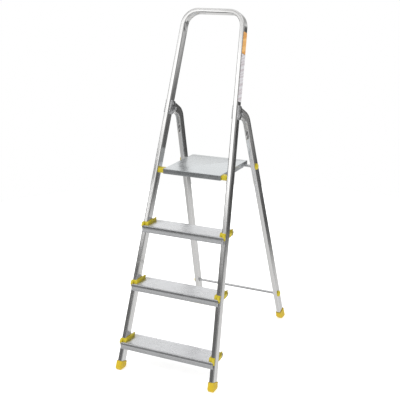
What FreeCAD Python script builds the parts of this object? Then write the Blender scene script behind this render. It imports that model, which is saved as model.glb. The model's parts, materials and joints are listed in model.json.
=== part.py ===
import FreeCAD, Part
import Sketcher
import math
import os
import re
from types import SimpleNamespace

# A folding platform step ladder, in millimetres.
# +X is the user's right hand when climbing, +Y points away from the user and +Z is up.
# The origin is on the floor, under the middle of the open ladder.

DIMENSIONS = [
    # Front frame: one bent tube, from foot to foot over the handrail.
    ("front_lean", 18.93),          # degrees back from upright
    ("front_splay", 3.13),          # degrees inwards, within the frame's own plane
    ("half_spread", 230.4),         # stile's outer face from the middle, at the floor
    ("front_edge", -412.0),         # Y of the stile's front face at the floor
    ("stile_width", 20.0),
    ("stile_depth", 40.0),
    ("stile_wall", 1.5),
    ("tube_corner", 3.0),
    ("stile_start", 24.0),          # end of the tube inside its foot
    ("rail_height", 1569.0),        # handrail's middle line, measured along the frame
    ("rail_radius", 65.0),
    # Treads.
    ("tread_first", 121.4),
    ("tread_rise", 241.0),
    ("tread_wall", 2.0),
    ("tread_front", 14.0),          # overhang in front of the stile
    ("tread_back", 46.0),           # overhang behind the stile
    ("tread_play", 0.3),            # round the stile
    ("skirt_front", 30.0),
    ("skirt_back", 18.0),
    ("skirt_slope", 10.0),          # bevel under the back edge
    ("skirt_lip", 7.0),
    # Plastic collars between treads and stiles.
    ("collar_rise", 14.0),
    ("collar_side", 7.0),
    ("collar_nose", 5.0),
    ("collar_tail", 28.0),
    ("collar_ear", 4.0),            # plate beside the stile, over the tread's end
    ("collar_lip", 10.0),           # the ear's wider edge on top of the tread
    ("collar_hang", 15.0),
    ("collar_band", 6.0),           # rim behind the stile
    ("collar_plug", 14.0),
    # Feet.
    ("foot_wall", 4.5),
    ("foot_height", 42.0),
    ("rear_foot_height", 36.0),
    # Platform.
    ("deck_top", 838.0),
    ("deck_front", 2.0),            # ahead of the stile's front face
    ("deck_width", 270.0),
    ("deck_length", 281.0),
    ("deck_wall", 1.5),
    ("deck_skirt", 22.0),
    ("deck_seat", 14.0),            # side flange where it sits on the upper rod
    ("deck_step", 42.0),            # length of that shallow stretch
    ("pivot_back", 20.0),
    ("pivot_drop", 11.0),
    ("pivot_pin", 8.0),
    ("pivot_head", 12.8),
    ("pivot_head_length", 3.0),
    ("pivot_inset", 6.0),           # the pin's head, inside the deck's side flange
    ("pivot_reach", 3.0),           # the pin's end, past the stile's inner face
    ("block_length", 30.0),
    ("block_height", 21.0),
    ("block_gap", 0.6),
    # Rear frame.
    ("rear_lean", 16.8),
    ("rear_splay", 3.08),
    ("leg_width", 20.0),
    ("leg_depth", 40.0),
    ("leg_front", 14.0),            # from its front face to the line that its bend and pin lie on
    ("leg_wall", 1.5),
    ("leg_start", 12.0),
    ("leg_straight", 1059.4),
    ("leg_radius", 61.0),
    ("leg_bend", 43.2),
    ("leg_reach", 41.1),            # from the bend to the hinge pin
    ("leg_end", 7.0),
    ("hinge_setback", 16.0),
    ("hinge_pin", 8.0),
    ("pin_play", 0.05),
    ("pin_proud", 0.5),
    ("pin_head", 12.0),
    ("pin_head_length", 2.5),
    ("bracket_height", 58.0),
    ("bracket_plate", 2.0),
    ("bracket_inset", 6.0),         # behind the stile's front face
    ("bracket_window", 34.0),       # opening in the web, which the leg's end swings through
    ("rivet_shank", 5.0),
    ("rivet_head", 9.0),
    ("rivet_dome", 1.5),
    ("rivet_spacing", 34.8),
    ("rivet_setback", 24.0),
    ("rod_size", 12.0),
    ("rod_low", 142.5),
    ("rod_high", 817.7),
    ("cap_size", 28.0),
    ("cap_length", 10.0),           # of the domed caps on the right
    ("cap_rim", 4.5),
    ("flat_cap", 3.5),              # of the flat caps on the left
    ("rod_hold", 5.0),              # how far a rod reaches into a domed cap
    ("flat_hold", 2.0),             # and into a flat one
    ("ring_size", 18.0),
    ("ring_length", 4.0),
    # Stickers on the right stile.
    ("label_skin", 0.3),
    ("label_width", 36.0),
    ("short_label", 90.0),
    ("long_label", 198.0),
    ("label_top", 1488.5),
    ("label_gap", 1.5),
]

doc = FreeCAD.newDocument("PlatformStepLadder")
sheet = doc.addObject("Spreadsheet::Sheet", "Size")
for row, (alias, value) in enumerate(DIMENSIONS, start=1):
    sheet.set(f"A{row}", str(value))
    sheet.setAlias(f"A{row}", alias)
doc.recompute()
ALIASES = {alias for alias, value in DIMENSIONS}
d = SimpleNamespace(**{alias: float(sheet.get(alias)) for alias in ALIASES})

AXIS_X = FreeCAD.Vector(1, 0, 0)
AXIS_Y = FreeCAD.Vector(0, 1, 0)
SIDES = (("left", -1), ("right", 1))
TREADS = (1, 2, 3)
LONG = "60"                         # a cutting tool's length, past any wall it opens
nodes = {}


def vec(x, y, z):
    return FreeCAD.Vector(x, y, z)


def at(x, y, z, rotation=None):
    return FreeCAD.Placement(vec(x, y, z), rotation or FreeCAD.Rotation())


def formula(text):
    """A formula of the sheet's names, written as FreeCAD reads it."""
    return re.sub(r"[a-z]+_[a-z]+", lambda word: "Size." + word.group(), text)


def number(text):
    """What a formula of the sheet's names comes to."""
    return float(sheet.evalExpression(formula(text)))


def bind(item, **formulas):
    for name, text in formulas.items():
        item.setExpression(name, formula(text))


def keep(name, item):
    """Makes an object one of the ladder's named pieces."""
    item.Label = name
    nodes[name] = item
    return item


# Part primitives and booleans, with sizes from the sheet.

def box(name, length, width, height, place):
    item = doc.addObject("Part::Box", name)
    bind(item, Length=length, Width=width, Height=height)
    item.Placement = place
    return item


def cylinder(name, radius, length, place):
    item = doc.addObject("Part::Cylinder", name)
    bind(item, Radius=radius, Height=length)
    item.Placement = place
    return item


def along_x(x, y, z):
    """A placement that turns a cylinder's length to +X."""
    return at(x, y, z, FreeCAD.Rotation(AXIS_Y, 90))


def fuse(name, pieces):
    item = doc.addObject("Part::MultiFuse", name)
    item.Shapes = pieces
    return item


def common(name, pieces):
    item = doc.addObject("Part::MultiCommon", name)
    item.Shapes = pieces
    return item


def cut(name, base, tools):
    item = doc.addObject("Part::Cut", name)
    item.Base = base
    item.Tool = tools[0] if len(tools) == 1 else fuse(name + "_tools", tools)
    return item


def group(name, pieces):
    item = doc.addObject("Part::Compound", name)
    item.Links = pieces
    return item


# Bodies and sketches.

def new_body(name, place):
    body = doc.addObject("PartDesign::Body", name)
    body.Placement = place
    return body


def new_sketch(body, name, role, offset=None):
    sketch = body.newObject("Sketcher::SketchObject", name)
    plane = next(item for item in body.Origin.OriginFeatures if item.Role == role)
    sketch.AttachmentSupport = [(plane, "")]
    sketch.MapMode = "FlatFace"
    if offset:
        sketch.AttachmentOffset = offset
    return sketch


def constrain(sketch, kind, *places, size=None):
    """Adds a constraint; with size, a dimension that follows the sheet."""
    if size is None:
        sketch.addConstraint(Sketcher.Constraint(kind, *places))
        return
    value = number(size)
    if kind == "Angle":
        value = math.radians(value)
    index = sketch.addConstraint(Sketcher.Constraint(kind, *places, value))
    sketch.setExpression(f"Constraints[{index}]", formula(size))


def polygon(sketch, corners):
    """A closed outline whose corners are pairs of formulas."""
    count = len(corners)
    ring = [vec(10 * math.cos(2 * math.pi * i / count), -10 * math.sin(2 * math.pi * i / count), 0)
            for i in range(count)]
    for i in range(count):
        sketch.addGeometry(Part.LineSegment(ring[i], ring[(i + 1) % count]), False)
    for i in range(count):
        constrain(sketch, "Coincident", i, 2, (i + 1) % count, 1)
    for i, corner in enumerate(corners):
        for kind, axis, size in zip(("DistanceX", "DistanceY"), (-2, -1), corner):
            if size == "0":
                constrain(sketch, "PointOnObject", i, 1, axis)
            else:
                constrain(sketch, kind, -1, 1, i, 1, size=size)


def rounded_rectangle(sketch, width, depth, radius, sizes):
    """Four lines and four arcs round the sketch's origin; sizes are the formulas."""
    first = sketch.GeometryCount
    x, y = width / 2, depth / 2
    inner_x, inner_y = x - radius, y - radius
    ends = [((-inner_x, -y), (inner_x, -y)), ((x, -inner_y), (x, inner_y)),
            ((inner_x, y), (-inner_x, y)), ((-x, inner_y), (-x, -inner_y))]
    for start, end in ends:
        sketch.addGeometry(Part.LineSegment(vec(*start, 0), vec(*end, 0)), False)
    centres = [(inner_x, -inner_y), (inner_x, inner_y), (-inner_x, inner_y), (-inner_x, -inner_y)]
    for turn, centre in enumerate(centres):
        circle = Part.Circle(vec(*centre, 0), vec(0, 0, 1), radius)
        start = (turn - 1) * math.pi / 2
        sketch.addGeometry(Part.ArcOfCircle(circle, start, start + math.pi / 2), False)
    for turn in range(4):
        line, arc, following = first + turn, first + 4 + turn, first + (turn + 1) % 4
        constrain(sketch, "Tangent", line, 2, arc, 1)
        constrain(sketch, "Tangent", arc, 2, following, 1)
        constrain(sketch, "Vertical" if turn % 2 else "Horizontal", line)
        if turn:
            constrain(sketch, "Equal", first + 4, arc)
    constrain(sketch, "Symmetric", first, 1, first + 2, 1, -1, 1)
    constrain(sketch, "DistanceX", first + 3, 1, first + 1, 1, size=sizes[0])
    constrain(sketch, "DistanceY", first, 1, first + 2, 1, size=sizes[1])
    constrain(sketch, "Radius", first + 4, size=sizes[2])


def tube_section(body, name, place, width, depth, wall, corner):
    """A hollow section: its outside, and the same shape one wall further in."""
    sketch = new_sketch(body, name, "XY_Plane", place)
    outside = (getattr(d, width), getattr(d, depth), getattr(d, corner))
    rounded_rectangle(sketch, *outside, (width, depth, corner))
    thick = getattr(d, wall)
    inside = (outside[0] - 2 * thick, outside[1] - 2 * thick, outside[2] - thick)
    sizes = (f"{width} - 2 * {wall}", f"{depth} - 2 * {wall}", f"{corner} - {wall}")
    rounded_rectangle(sketch, *inside, sizes)
    return sketch


def pipe(body, name, section, path):
    item = body.newObject("PartDesign::AdditivePipe", name)
    item.Profile = section
    item.Spine = (path, [])
    return item


# Where the two frames stand.

LEAN = math.radians(d.front_lean)
SPLAY = math.radians(d.front_splay)
REAR_LEAN = math.radians(d.rear_lean)
REAR_SPLAY = math.radians(d.rear_splay)
BEND = math.radians(d.leg_bend)
STILE_SLICE = d.stile_depth / math.cos(LEAN)


def stile_frame(side):
    """Local X across the stile, Y from its front face to its back, Z up along it."""
    turn = FreeCAD.Rotation(AXIS_X, -d.front_lean) * FreeCAD.Rotation(AXIS_Y, -side * d.front_splay)
    return at(side * (d.half_spread - d.stile_width / 2), d.front_edge, 0, turn)


def stile_front(height):
    return d.front_edge + height * math.tan(LEAN)


def outside_formula(level):
    """X of the right stile's outer face at a level."""
    return f"(half_spread - {level} * tan(front_splay) / cos(front_lean))"


def stile_outside(height):
    return number(outside_formula(height))


# The hinge pin's place in a leg's own frame, and then in the ladder's.
pin_across = d.leg_front - d.leg_radius * (1 - math.cos(BEND)) - d.leg_reach * math.sin(BEND)
pin_along = d.leg_straight + d.leg_radius * math.sin(BEND) + d.leg_reach * math.cos(BEND)
pin_height = (pin_across * math.sin(REAR_LEAN)
              + pin_along * math.cos(REAR_SPLAY) * math.cos(REAR_LEAN))
pin_setback = d.stile_depth + d.hinge_setback
pin_back = stile_front(pin_height) + pin_setback / math.cos(LEAN)
hinge_along = (pin_height + pin_setback * math.sin(LEAN)) / (math.cos(LEAN) * math.cos(SPLAY))
pin_aside = d.half_spread - d.stile_width / 2 - hinge_along * math.sin(SPLAY)
leg_edge = (pin_back - pin_across * math.cos(REAR_LEAN)
            + pin_along * math.cos(REAR_SPLAY) * math.sin(REAR_LEAN))


def leg_frame(side):
    """Local X across the leg, Y from its front face to its back, Z up along it."""
    turn = FreeCAD.Rotation(AXIS_X, d.rear_lean) * FreeCAD.Rotation(AXIS_Y, -side * d.rear_splay)
    return at(side * (pin_aside + pin_along * math.sin(REAR_SPLAY)), leg_edge, 0, turn)


def leg_line(height):
    """Y of the line that a straight leg's rods and bend lie on, at a height."""
    return leg_edge - height * math.tan(REAR_LEAN) + d.leg_front / math.cos(REAR_LEAN)


def stile_space(name, side, play=0.0, outward=0.0):
    """The solid space that a stile takes up, for shaping what wraps round it."""
    start = -d.stile_width / 2 - play - (outward if side < 0 else 0)
    return box(name, f"stile_width + {2 * play + outward}", f"stile_depth + {2 * play}", "rail_height",
               stile_frame(side) * at(start, -play, 0))


HINGE_HALF = d.stile_width / 2 + 2 * d.bracket_plate


def rivet_shanks(name, side, extra):
    """The hinge bracket's two rivets, through both cheeks and the stile."""
    shanks = []
    for place, offset in (("low", -1), ("high", 1)):
        along = hinge_along + offset * d.rivet_spacing / 2
        start = stile_frame(side) * along_x(-HINGE_HALF - extra, d.rivet_setback, along)
        shanks.append(cylinder(f"{name}_{place}", "rivet_shank / 2",
                               f"stile_width + 4 * bracket_plate + {2 * extra}", start))
    return shanks


def hinge_shank(name, side, play, length):
    """The hinge pin's space, centred on its leg."""
    start = along_x(side * pin_aside - number(length) / 2, pin_back, pin_height)
    return cylinder(name, f"hinge_pin / 2 + {play}", length, start)


# Front frame.

def front_frame():
    place = at(0, d.front_edge, 0, FreeCAD.Rotation(AXIS_X, -d.front_lean))
    body = new_body("frame_tube", place)
    half = d.half_spread - d.stile_width / 2
    middle = d.stile_depth / 2
    start = d.stile_start * math.cos(SPLAY)
    foot = half - d.stile_start * math.sin(SPLAY)
    path = new_sketch(body, "frame_path", "XZ_Plane", at(0, 0, -middle))
    corner = foot - (d.rail_height - start) * math.tan(SPLAY)
    run = d.rail_radius * math.tan((math.pi / 2 - SPLAY) / 2)
    low = vec(-corner - run * math.sin(SPLAY), d.rail_height - run * math.cos(SPLAY), 0)
    high = vec(-corner + run, d.rail_height, 0)
    flip = vec(-low.x, low.y, 0)
    path.addGeometry(Part.LineSegment(vec(-foot, start, 0), low), False)
    centre = vec(high.x, high.y - d.rail_radius, 0)
    circle = Part.Circle(centre, vec(0, 0, 1), d.rail_radius)
    path.addGeometry(Part.ArcOfCircle(circle, math.pi / 2, math.pi - SPLAY), False)
    path.addGeometry(Part.LineSegment(high, vec(-high.x, high.y, 0)), False)
    circle = Part.Circle(vec(-centre.x, centre.y, 0), vec(0, 0, 1), d.rail_radius)
    path.addGeometry(Part.ArcOfCircle(circle, SPLAY, math.pi / 2), False)
    path.addGeometry(Part.LineSegment(flip, vec(foot, start, 0)), False)
    for joint in ((0, 2, 1, 2), (1, 1, 2, 1), (2, 2, 3, 2), (3, 1, 4, 1)):
        constrain(path, "Tangent", *joint)
    constrain(path, "Equal", 1, 3)
    constrain(path, "Equal", 0, 4)
    constrain(path, "Horizontal", 2)
    constrain(path, "Symmetric", 0, 1, 4, 2, -2)
    constrain(path, "Radius", 1, size="rail_radius")
    constrain(path, "DistanceY", -1, 1, 2, 1, size="rail_height")
    constrain(path, "DistanceY", -1, 1, 0, 1, size="stile_start * cos(front_splay)")
    constrain(path, "DistanceX", 0, 1, -1, 1,
              size="half_spread - stile_width / 2 - stile_start * sin(front_splay)")
    constrain(path, "Angle", -1, 1, 0, 1, size="90 - front_splay")
    turn = FreeCAD.Rotation(AXIS_Y, d.front_splay)
    section = tube_section(body, "frame_section", at(-foot, middle, start, turn),
                           "stile_width", "stile_depth", "stile_wall", "tube_corner")
    pipe(body, "frame_pipe", section, path)
    tools = []
    for name, side in SIDES:
        tools += rivet_shanks(f"frame_hole_{name}", side, d.bracket_plate)
        tools.append(pivot_shank(f"frame_pivot_{name}", side))
    keep("front_frame", cut("front_frame", body, tools))


# Treads, each with a collar at both ends.

def tread(index):
    height = d.tread_first + (index - 1) * d.tread_rise
    front = stile_front(height) - d.tread_front
    body = new_body(f"tread_{index}_profile", at(0, front, height))
    sketch = new_sketch(body, f"tread_{index}_section", "YZ_Plane")
    wide = "(tread_front + stile_depth / cos(front_lean) + tread_back)"
    slope = f"{wide} - skirt_slope"
    bevel = "tread_wall * tan(22.5)"
    polygon(sketch, [
        ("0", "0"),
        (wide, "0"),
        (wide, "skirt_slope - skirt_back"),
        (slope, "-skirt_back"),
        (f"{slope} - skirt_lip", "-skirt_back"),
        (f"{slope} - skirt_lip", "tread_wall - skirt_back"),
        (f"{slope} - {bevel}", "tread_wall - skirt_back"),
        (f"{wide} - tread_wall", f"skirt_slope - skirt_back + {bevel}"),
        (f"{wide} - tread_wall", "-tread_wall"),
        ("tread_wall", "-tread_wall"),
        ("tread_wall", "tread_wall - skirt_front"),
        ("skirt_lip", "tread_wall - skirt_front"),
        ("skirt_lip", "-skirt_front"),
        ("0", "-skirt_front"),
    ])
    pad = body.newObject("PartDesign::Pad", f"tread_{index}_extrusion")
    pad.Profile = sketch
    pad.Midplane = True
    level = f"(tread_first + {index - 1} * tread_rise)"
    bind(pad, Length=f"2 * ({outside_formula(level)} - collar_ear)")
    tools = []
    for name, side in SIDES:
        tools.append(stile_space(f"tread_{index}_notch_{name}", side, d.tread_play, d.stile_width))
        tools.append(tread_rivet(f"tread_{index}_hole_{name}", side, height, False))
    keep(f"tread_{index}", cut(f"tread_{index}", body, tools))
    for name, side in SIDES:
        collar(f"tread_{index}_collar_{name}", side, height)


def tread_rivet(name, side, height, head):
    """A rivet through the tread's front skirt into the collar behind it."""
    x = side * (stile_outside(height) - d.stile_width / 2)
    y = stile_front(height) - d.tread_front
    z = height - d.skirt_front / 2
    turn = FreeCAD.Rotation(AXIS_X, -90)
    shank = cylinder(name, "rivet_shank / 2", "rivet_shank + tread_wall", at(x, y, z, turn))
    if not head:
        return shank
    dome = cylinder(name + "_head", "rivet_head / 2", "rivet_dome", at(x, y - d.rivet_dome, z, turn))
    return fuse(name + "_whole", [shank, dome])


def ear(name, side, height, y, thick, corners):
    """A plate beside the stile, with an outline in YZ and its outer face flush with the stile's."""
    outside = stile_outside(height)
    x = outside - number(thick) if side > 0 else -outside
    body = new_body(name, at(x, y, height))
    polygon(new_sketch(body, name + "_outline", "YZ_Plane"), corners)
    pad = body.newObject("PartDesign::Pad", name + "_plate")
    pad.Profile = body.Group[0]
    bind(pad, Length=thick)
    return body


def collar(name, side, height):
    """A moulding round the stile: a raised rim, an ear on each side of it and a plug in the tread."""
    outside = stile_outside(height)
    front = stile_front(height)
    back = front + STILE_SLICE

    def block(part, x_near, across, y_low, length, z_low, tall):
        x_low = x_near if side > 0 else -x_near - number(across)
        return box(f"{name}_{part}", across, length, tall, at(x_low, y_low, z_low))

    inside = outside - d.stile_width - d.collar_side
    rim = block("rim", inside, "stile_width + collar_side", front - d.collar_nose,
                "collar_nose + stile_depth / cos(front_lean) + collar_tail", height, "collar_rise")
    pocket = block("pocket", outside - d.stile_width, "stile_width - collar_lip", back + d.collar_band,
                   "collar_tail", height, "collar_rise")
    plug = block("plug", inside, "stile_width + collar_side - collar_ear",
                 front - d.tread_front + d.tread_wall,
                 "tread_front - tread_wall + stile_depth / cos(front_lean) + collar_tail",
                 height - d.tread_wall - d.collar_plug, "collar_plug")
    plates = [
        ear(name + "_front_ear", side, height, front, "collar_ear", [
            ("-tread_front", "collar_ear / 4"),
            ("-tread_front", "-collar_ear / 2"),
            ("-tread_front / 2", "-collar_hang"),
            ("stile_depth / 4", "-collar_hang"),
            ("stile_depth / 4", "collar_rise"),
            ("-collar_ear", "collar_rise"),
            ("-tread_front * 0.65", "collar_rise * 0.7"),
        ]),
        ear(name + "_front_lip", side, height, front, "collar_lip", [
            ("-tread_front", "0"),
            ("-tread_front", "collar_ear / 4"),
            ("-tread_front * 0.65", "collar_rise * 0.7"),
            ("-collar_ear", "collar_rise"),
            ("stile_depth / 4", "collar_rise"),
            ("stile_depth / 4", "0"),
        ]),
        ear(name + "_back_ear", side, height, back, "collar_ear", [
            ("-stile_depth / 4", "-collar_hang"),
            ("collar_tail * 0.4", "-collar_hang"),
            ("collar_tail * 0.85", "-collar_hang * 0.6"),
            ("collar_tail + collar_ear / 2", "0"),
            ("collar_tail", "collar_rise"),
            ("-stile_depth / 4", "collar_rise"),
        ]),
    ]
    whole = cut(name + "_blank", fuse(name + "_body", [rim, plug] + plates), [pocket])
    tools = [stile_space(name + "_bore", side, 0.0, d.collar_nose),
             tread_rivet(name + "_hole", side, height, False)]
    keep(name, cut(name, whole, tools))


# Feet.

def foot(name, place, width, depth, height):
    """A socket round the end of a tube, ending in a flat sole on the floor."""
    outer = box(name + "_outer", f"{width} + 2 * foot_wall", f"{depth} + 2 * foot_wall",
                f"2 * {height}",
                place * at(-getattr(d, width) / 2 - d.foot_wall, -d.foot_wall, -getattr(d, height)))
    room = 2 * d.foot_height
    above = box(name + "_above", "4 * foot_height", "4 * foot_height", "2 * foot_height",
                at(place.Base.x - room, place.Base.y - room, 0))
    start = d.stile_start if width == "stile_width" else d.leg_start
    socket = box(name + "_socket", width, depth, "2 * foot_height",
                 place * at(-getattr(d, width) / 2, 0, start))
    keep(name, cut(name, common(name + "_blank", [outer, above]), [socket]))


# Hinge between the two frames.

def hinge(name, side):
    """A bracket with two cheeks and a web behind the stile, and the pin that its leg turns on."""
    place = stile_frame(side) * at(0, 0, hinge_along)
    body = new_body(f"bracket_{name}_cheeks", place)
    back = "stile_depth + bracket_plate"
    pin = "stile_depth + hinge_setback"
    polygon(new_sketch(body, f"bracket_{name}_outline", "YZ_Plane"), [
        ("bracket_inset", "bracket_height / 2"),
        (back, "bracket_height / 2"),
        (f"{back} + bracket_plate", "bracket_height / 4"),
        (f"{pin} + hinge_pin / 2", "hinge_pin"),
        (f"{pin} + hinge_pin", "hinge_pin / 2"),
        (f"{pin} + hinge_pin", "-hinge_pin / 2"),
        (f"{pin} + hinge_pin / 2", "-hinge_pin"),
        (f"{back} + bracket_plate", "-bracket_height / 4"),
        (back, "-bracket_height / 2"),
        ("bracket_inset", "-bracket_height / 2"),
    ])
    pad = body.newObject("PartDesign::Pad", f"bracket_{name}_plate")
    pad.Profile = body.Group[0]
    pad.Midplane = True
    bind(pad, Length="stile_width + 4 * bracket_plate")
    between = -d.stile_width / 2 - d.bracket_plate
    slot = box(f"bracket_{name}_slot", "stile_width + 2 * bracket_plate", LONG, "2 * bracket_height",
               place * at(between, d.stile_depth + d.bracket_plate, -d.bracket_height))
    window = box(f"bracket_{name}_window", "stile_width + 2 * bracket_plate", "2 * bracket_plate",
                 "bracket_window", place * at(between, d.stile_depth, -d.bracket_window / 2))
    tools = [stile_space(f"bracket_{name}_bore", side), slot, window,
             hinge_shank(f"bracket_{name}_hole", side, 0, LONG)]
    tools += rivet_shanks(f"bracket_{name}_rivet", side, d.bracket_plate)
    keep(f"hinge_bracket_{name}", cut(f"hinge_bracket_{name}", body, tools))

    pieces = [hinge_shank(f"pin_{name}_shank", side, 0, "stile_width + 4 * bracket_plate + 2 * pin_proud")]
    reach = HINGE_HALF + d.pin_proud
    for part, start in (("inner", -reach - d.pin_head_length), ("outer", reach)):
        place = along_x(side * pin_aside + start, pin_back, pin_height)
        pieces.append(cylinder(f"pin_{name}_{part}", "pin_head / 2", "pin_head_length", place))
    keep(f"hinge_pin_{name}", fuse(f"hinge_pin_{name}", pieces))


def bracket_rivets():
    rivets = []
    for name, side in SIDES:
        for index, shank in enumerate(rivet_shanks(f"rivet_{name}", side, 0.0)):
            along = hinge_along + (2 * index - 1) * d.rivet_spacing / 2
            pieces = [shank]
            for part, start in (("inner", -HINGE_HALF - d.rivet_dome), ("outer", HINGE_HALF)):
                place = stile_frame(side) * along_x(start, d.rivet_setback, along)
                pieces.append(cylinder(f"rivet_{name}_{index}_{part}", "rivet_head / 2",
                                       "rivet_dome", place))
            rivets.append(fuse(f"rivet_{name}_{index}", pieces))
    keep("bracket_rivets", group("bracket_rivets", rivets))


# Rear frame.

def rod_space(name, height):
    place = along_x(-d.half_spread, leg_line(height), height)
    return cylinder(name, "rod_size / 2", "2 * half_spread", place)


def leg_aside(height):
    """X of a leg's middle line at the height of a rod."""
    along = (height - d.leg_front * math.sin(REAR_LEAN)) / math.cos(REAR_LEAN)
    return pin_aside + pin_along * math.sin(REAR_SPLAY) - along * math.tan(REAR_SPLAY)


def rear_leg(name, side):
    body = new_body(f"leg_{name}_tube", leg_frame(side))
    path = new_sketch(body, f"leg_{name}_path", "YZ_Plane")
    middle = d.leg_front
    bend_start = vec(middle, d.leg_straight, 0)
    centre = vec(middle - d.leg_radius, d.leg_straight, 0)
    bend_end = vec(centre.x + d.leg_radius * math.cos(BEND), centre.y + d.leg_radius * math.sin(BEND), 0)
    length = d.leg_reach + d.leg_end
    tip = vec(bend_end.x - length * math.sin(BEND), bend_end.y + length * math.cos(BEND), 0)
    path.addGeometry(Part.LineSegment(vec(middle, d.leg_start, 0), bend_start), False)
    path.addGeometry(Part.ArcOfCircle(Part.Circle(centre, vec(0, 0, 1), d.leg_radius), 0, BEND), False)
    path.addGeometry(Part.LineSegment(bend_end, tip), False)
    constrain(path, "Tangent", 0, 2, 1, 1)
    constrain(path, "Tangent", 1, 2, 2, 1)
    constrain(path, "Vertical", 0)
    constrain(path, "DistanceX", -1, 1, 0, 1, size="leg_front")
    constrain(path, "DistanceY", -1, 1, 0, 1, size="leg_start")
    constrain(path, "DistanceY", -1, 1, 0, 2, size="leg_straight")
    constrain(path, "Radius", 1, size="leg_radius")
    constrain(path, "Distance", 2, size="leg_reach + leg_end")
    constrain(path, "Angle", 0, 2, size="leg_bend")
    section = tube_section(body, f"leg_{name}_section", at(0, d.leg_depth / 2, d.leg_start),
                           "leg_width", "leg_depth", "leg_wall", "tube_corner")
    pipe(body, f"leg_{name}_pipe", section, path)
    tools = [hinge_shank(f"leg_{name}_hole", side, d.pin_play, LONG),
             rod_space(f"leg_{name}_low", d.rod_low),
             rod_space(f"leg_{name}_high", d.rod_high)]
    keep(f"rear_leg_{name}", cut(f"rear_leg_{name}", body, tools))


def cross_rod(name, height):
    """A rod through both legs, domed cap on its right end; returns the rings inside the legs."""
    reach = leg_aside(height) + d.leg_width / 2
    length = f"{2 * reach} + rod_hold + flat_hold"
    rod_start = along_x(-reach - d.flat_hold, leg_line(height), height)
    keep(f"{name}_cross_rod", cylinder(f"{name}_cross_rod", "rod_size / 2", length, rod_start))
    rings = []
    for side_name, side in SIDES:
        turn = leg_frame(side).Rotation * FreeCAD.Rotation(AXIS_Y, 90 * side)
        spot = vec(side * leg_aside(height), leg_line(height), height)
        outward = turn.multVec(vec(0, 0, 1))
        cap_name = f"{name}_rod_cap_{side_name}"
        base = spot + outward * (d.leg_width / 2)
        if side > 0:
            rim = cylinder(cap_name + "_rim", "cap_size / 2", "cap_rim", FreeCAD.Placement(base, turn))
            dome = doc.addObject("Part::Cone", cap_name + "_dome")
            bind(dome, Radius1="cap_size / 2", Radius2="cap_size / 4", Height="cap_length - cap_rim")
            dome.Placement = FreeCAD.Placement(base + outward * d.cap_rim, turn)
            blank = fuse(cap_name + "_blank", [rim, dome])
        else:
            blank = cylinder(cap_name + "_disc", "cap_size / 2", "flat_cap", FreeCAD.Placement(base, turn))
        bore = cylinder(cap_name + "_bore", "rod_size / 2", length, rod_start)
        keep(cap_name, cut(cap_name, blank, [bore]))
        inner = spot - outward * (d.leg_width / 2 + d.ring_length)
        ring = cylinder(f"{name}_ring_{side_name}", "ring_size / 2", "ring_length",
                        FreeCAD.Placement(inner, turn))
        rings.append(cut(f"{name}_ring_{side_name}_cut", ring,
                         [rod_space(f"{name}_ring_{side_name}_bore", height)]))
    return rings


# Platform.

DECK_FRONT = stile_front(d.deck_top) - d.deck_front
PIVOT_Y = DECK_FRONT + d.pivot_back
PIVOT_Z = d.deck_top - d.pivot_drop
PIVOT_GAP = f"({outside_formula('(deck_top - pivot_drop)')} - stile_width - deck_width / 2)"


def pivot_shank(name, side, play=0.0):
    """The platform's pivot pin, from inside the deck's flange into the stile's inner wall."""
    inner = d.deck_width / 2 - d.pivot_inset
    length = f"{PIVOT_GAP} + pivot_inset + pivot_reach"
    start = inner if side > 0 else -inner - number(length)
    return cylinder(name, f"pivot_pin / 2 + {play}", length, along_x(start, PIVOT_Y, PIVOT_Z))


def platform():
    """A folded sheet with a shallower seat at the back, its pivot pins and their blocks."""
    bottom = d.deck_top - d.deck_skirt
    outer = box("deck_outer", "deck_width", "deck_length", "deck_skirt",
                at(-d.deck_width / 2, DECK_FRONT, bottom))
    wall = d.deck_wall
    inner = box("deck_inner", "deck_width - 2 * deck_wall", "deck_length - 2 * deck_wall", "deck_skirt",
                at(-d.deck_width / 2 + wall, DECK_FRONT + wall, bottom - wall))
    step_start = DECK_FRONT + d.deck_length - d.deck_step
    step = box("deck_step_cut", "2 * deck_width", "deck_step - deck_wall", "deck_skirt",
               at(-d.deck_width, step_start, bottom - d.deck_seat))
    tools = [inner, step]
    tools += [pivot_shank(f"deck_hole_{name}", side, d.pin_play) for name, side in SIDES]
    keep("platform_deck", cut("platform_deck", outer, tools))
    for name, side in SIDES:
        length = f"{PIVOT_GAP} - block_gap + collar_ear"
        near = d.deck_width / 2 + d.block_gap
        x_low = near if side > 0 else -near - number(length)
        blank = box(f"block_{name}_blank", length, "block_length", "block_height",
                    at(x_low, PIVOT_Y - d.block_length / 2, PIVOT_Z - d.block_height / 2))
        tools = [stile_space(f"block_{name}_bore", side, 0.0, d.collar_lip),
                 pivot_shank(f"block_{name}_hole", side)]
        keep(f"platform_pivot_block_{name}", cut(f"platform_pivot_block_{name}", blank, tools))
        head_x = side * (d.deck_width / 2 - d.pivot_inset) - (d.pivot_head_length if side > 0 else 0.0)
        head = cylinder(f"pivot_{name}_head", "pivot_head / 2", "pivot_head_length",
                        along_x(head_x, PIVOT_Y, PIVOT_Z))
        keep(f"platform_pivot_pin_{name}",
             fuse(f"platform_pivot_pin_{name}", [pivot_shank(f"pivot_{name}_shank", side), head]))


def stickers():
    """Two thin labels on the right stile's outer face, under the handrail's bend."""
    top = d.label_top
    for name, length in (("upper_label", "short_label"), ("lower_label", "long_label")):
        low = top - getattr(d, length)
        place = stile_frame(1) * at(d.stile_width / 2, (d.stile_depth - d.label_width) / 2, low)
        keep(name, box(name, "label_skin", "label_width", length, place))
        top = low - d.label_gap


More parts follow.
